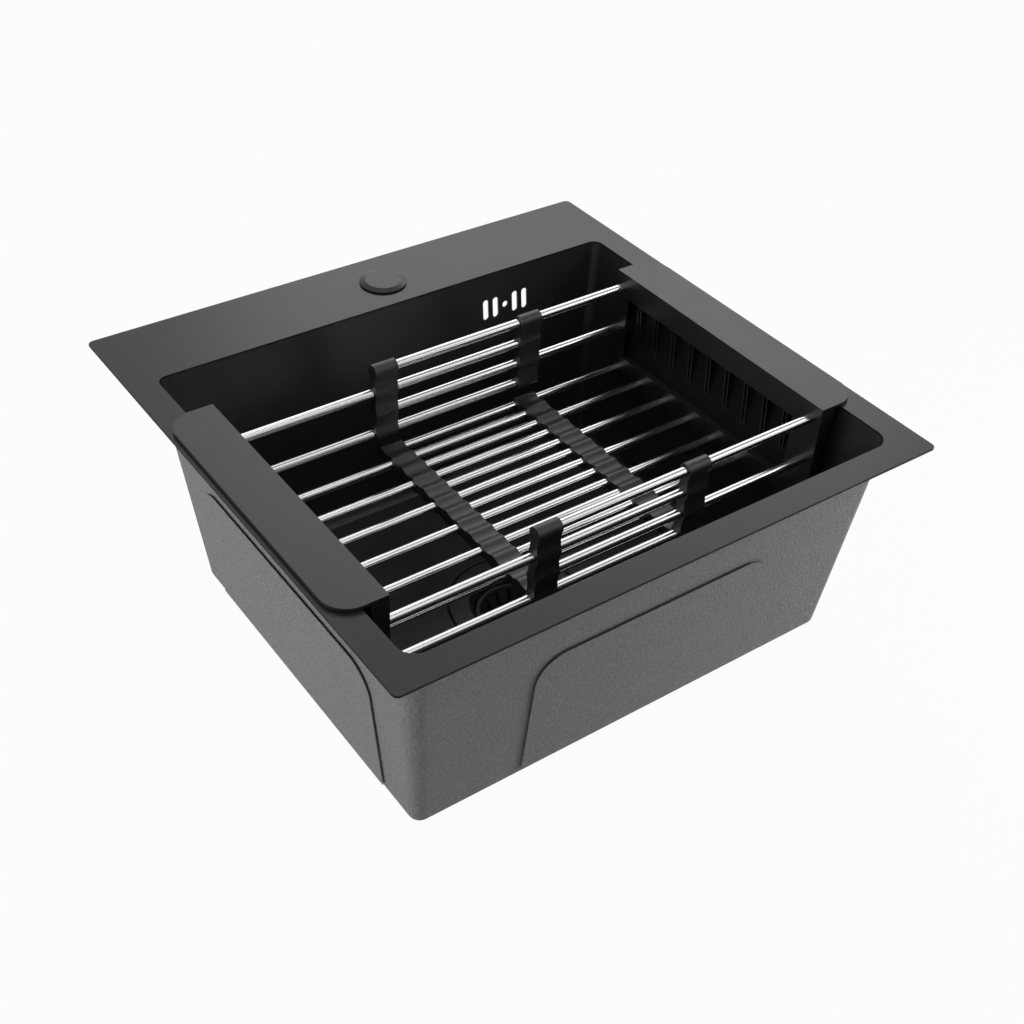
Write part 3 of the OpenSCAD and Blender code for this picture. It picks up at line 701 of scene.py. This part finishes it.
def rodEnds(node):
    # the lowest and highest corner of each loose rod in the node
    bm = bmesh.new()
    bm.from_mesh(frame["nodes"][node].data)
    bmesh.ops.remove_doubles(bm, verts=bm.verts, dist=meshClean["join"])
    seen = set()
    corners = []
    for start in bm.verts:
        if start.index in seen:
            continue
        group, stack = [], [start]
        seen.add(start.index)
        while stack:
            v = stack.pop()
            group.append(v.co.copy())
            for edge in v.link_edges:
                other = edge.other_vert(v)
                if other.index not in seen:
                    seen.add(other.index)
                    stack.append(other)
        corners.append([Vector([pick(p[a] for p in group) for a in range(3)]) for pick in (min, max)])
    bm.free()
    return corners


def makeRods(node, look, tree, names):
    corners = rodEnds(node)
    mesh = bpy.data.meshes.new(node + "_points")
    mesh.from_pydata([(low + high) / 2 for low, high in corners], [], [])
    lengths = mesh.attributes.new("rodLength", "FLOAT", "POINT")
    lengths.data.foreach_set("value", [high.x - low.x for low, high in corners])
    work = addObject(node + "_work", mesh)
    modifier = work.modifiers.new("rods", "NODES")
    modifier.node_group = tree
    modifier[names["Radius"]] = look["rodR"]
    modifier[names["Segments"]] = look["rodSegments"]
    mesh = softened(evaluated(work), angle=look["rodAngle"])
    finishPiece(node + "_tubes", mesh, bodyOf(node), [node])


trayLook = {
    "panel": 2.5 * mm, "ribWidth": 1.6 * mm, "ribSetback": 0.3 * mm, "pocketDeeper": 1 * mm,
    "edge": 0.3 * mm, "slack": 0.1 * mm,
    "facing": -0.98, "leaning": 0.05,  # how far a face's normal points to the bowl, and up or down
}


def makeTray(node, look):
    # the CAD tray, its ribs brought up to the panel and its outer wall thinned so that the pocket looks deep;
    # the pocket's back wall gets a darker copy of the plastic, as painted shade
    low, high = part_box(node)
    side = 1 if high.x > 0 else -1
    panelX = min(abs(low.x), abs(high.x))
    bm = bmesh.new()
    bm.from_mesh(cleanCopy(node))
    ribFronts, pocketBack = set(), set()
    for face in bm.faces:
        face.material_index = 0
        behindPanel = side * face.calc_center_median().x > panelX + look["panel"] + look["slack"]
        if not behindPanel or side * face.normal.x > look["facing"]:
            continue
        ys = [v.co.y for v in face.verts]
        if abs(face.normal.z) > look["leaning"]:
            pocketBack.update(face.verts)
            # painted shade: the pocket's back wall takes the darker copy of the plastic
            face.material_index = 1
        elif max(ys) - min(ys) < look["ribWidth"] + 2 * look["slack"]:
            ribFronts.update(face.verts)
    for v in pocketBack:
        v.co.x += side * look["pocketDeeper"]
    for v in ribFronts - pocketBack:
        v.co.x = side * (panelX + look["panel"] + look["ribSetback"])
    mesh = softened(meshFrom(bm, node, looks["tray"], looks["pocket"]), look["edge"])
    finishPiece(node + "_dressed", mesh, bodyOf(node), [node])


rodGroup, rodInputs = rodTree(rackLook, looks["rod"])
for side in ("left", "right"):
    makeTray(side + "_tray", trayLook)
    makeRods(side + "_rods", rackLook, rodGroup, rodInputs)
    for row in ("back", "floor", "front"):
        dressNode(row + "_strip_" + side, looks["rubber"], rackLook["stripEdge"], rackLook["stripSegments"])
print("rack made")


stageLook = {
    "floorZ": cadBox[0][2] - 0.5 * mm, "size": 12.0,
    "shadow": 0.04,  # share of the floor's own shade that is left under the white
    "worldStrength": 0.15,
}


def seenDirectly(tree):
    # 1 for what the camera sees, also by way of metal or glass, and 0 for the light on the object
    path = addNode(tree, "ShaderNodeLightPath")
    either = addNode(tree, "ShaderNodeMath", {"operation": "MAXIMUM"},
                     links={0: path.outputs["Is Camera Ray"], 1: path.outputs["Is Glossy Ray"]})
    return addNode(tree, "ShaderNodeMath", {"operation": "MAXIMUM"},
                   links={0: either.outputs[0], 1: path.outputs["Is Transmission Ray"]}).outputs[0]


def gridMesh(name, width, height, z, material):
    # one flat rectangle, made from a square with sides of 1 m
    bm = bmesh.new()
    bmesh.ops.create_grid(bm, x_segments=1, y_segments=1, size=1 / 2)
    bmesh.ops.scale(bm, verts=bm.verts, vec=(width, height, 1))
    bmesh.ops.translate(bm, verts=bm.verts, vec=(0, 0, z))
    return meshFrom(bm, name, material)


def makeStage(look):
    # pale paint that is seen nearly white, with some of the object's shadow kept
    material, tree, shader, _ = newMaterial("pale_floor", "#f4f4f4", 0.9)
    white = addNode(tree, "ShaderNodeEmission", inputs={"Color": pureWhite, "Strength": 1.0})
    share = addNode(tree, "ShaderNodeMath", {"operation": "MULTIPLY"},
                    links={0: seenDirectly(tree)}, inputs={1: 1 - look["shadow"]})
    mix = addNode(tree, "ShaderNodeMixShader",
                  links={0: share.outputs[0], 1: shader.outputs[0], 2: white.outputs[0]})
    tree.links.new(mix.outputs[0], tree.nodes["Material Output"].inputs["Surface"])
    floor = addObject("floor", gridMesh("floor", look["size"], look["size"], look["floorZ"], material))


def makeWorld(look):
    world = bpy.data.worlds.new("studio")
    scene.world = world
    world.use_nodes = True
    tree = world.node_tree
    soft = tree.nodes["Background"]
    soft.inputs["Color"].default_value = pureWhite
    soft.inputs["Strength"].default_value = look["worldStrength"]
    white = addNode(tree, "ShaderNodeBackground", inputs={"Color": pureWhite, "Strength": 1.0})
    mix = addNode(tree, "ShaderNodeMixShader",
                  links={0: seenDirectly(tree), 1: soft.outputs[0], 2: white.outputs[0]})
    tree.links.new(mix.outputs[0], tree.nodes["World Output"].inputs["Surface"])


def softbox(name, place, aim, size, power):
    data = bpy.data.lights.new(name, "AREA")
    data.shape = "RECTANGLE"
    data.size, data.size_y = size
    data.energy = power
    lamp = addObject(name, data)
    lamp.location = place
    lamp.rotation_euler = (Vector(aim) - Vector(place)).to_track_quat("-Z", "Y").to_euler()
    lamp.visible_camera = False


def blackFlag(name, place, aim, size):
    # a black card that only mirrored rays see, for the dark lines along the rods
    card = addObject(name, gridMesh(name, size[0], size[1], 0, looks["edge"]))
    card.location = place
    back = (Vector(place) - Vector(aim)).normalized()
    up = back.cross(Vector((1, 0, 0))).normalized()
    card.rotation_euler = Matrix((up.cross(back), up, back)).transposed().to_euler()
    card.visible_camera = False
    card.visible_diffuse = False
    card.visible_transmission = False
    card.visible_shadow = False


softboxes = [
    # name, place, aimed at, width and height, power
    ("left_card", (-1.5, 0.1, -0.12), (0, 0, -0.2), (1.2, 0.5), 10),
    ("front_card", (0.9, -0.55, -0.3), (0.2, -0.2, -0.24), (0.5, 0.3), 7),
    ("front_top_softbox", (1.5, -1.1, 1.0), (0.1, -0.1, -0.2), (0.9, 0.6), 4.5),
    ("back_softbox", (1.5, 1.7, 1.45), (0, 0, 0), (1.9, 0.9), 9.2),
    ("top_softbox", (0.1, 0.1, 2.0), (0, 0, 0), (1.0, 1.0), 7),
]
flags = [
    # name, place, aimed at, width and height
    ("overhead_flag", (0.65, -0.08, 1.2), (0, -0.02, 0), (2.0, 0.34)),
    ("front_flag", (0.9, -1.5, 0.8), (0, 0, 0), (2.4, 0.3)),
]
makeStage(stageLook)
makeWorld(stageLook)
for card in flags:
    blackFlag(*card)
for box in softboxes:
    softbox(*box)
scene.view_settings.view_transform = "Standard"
print("stage and light made")
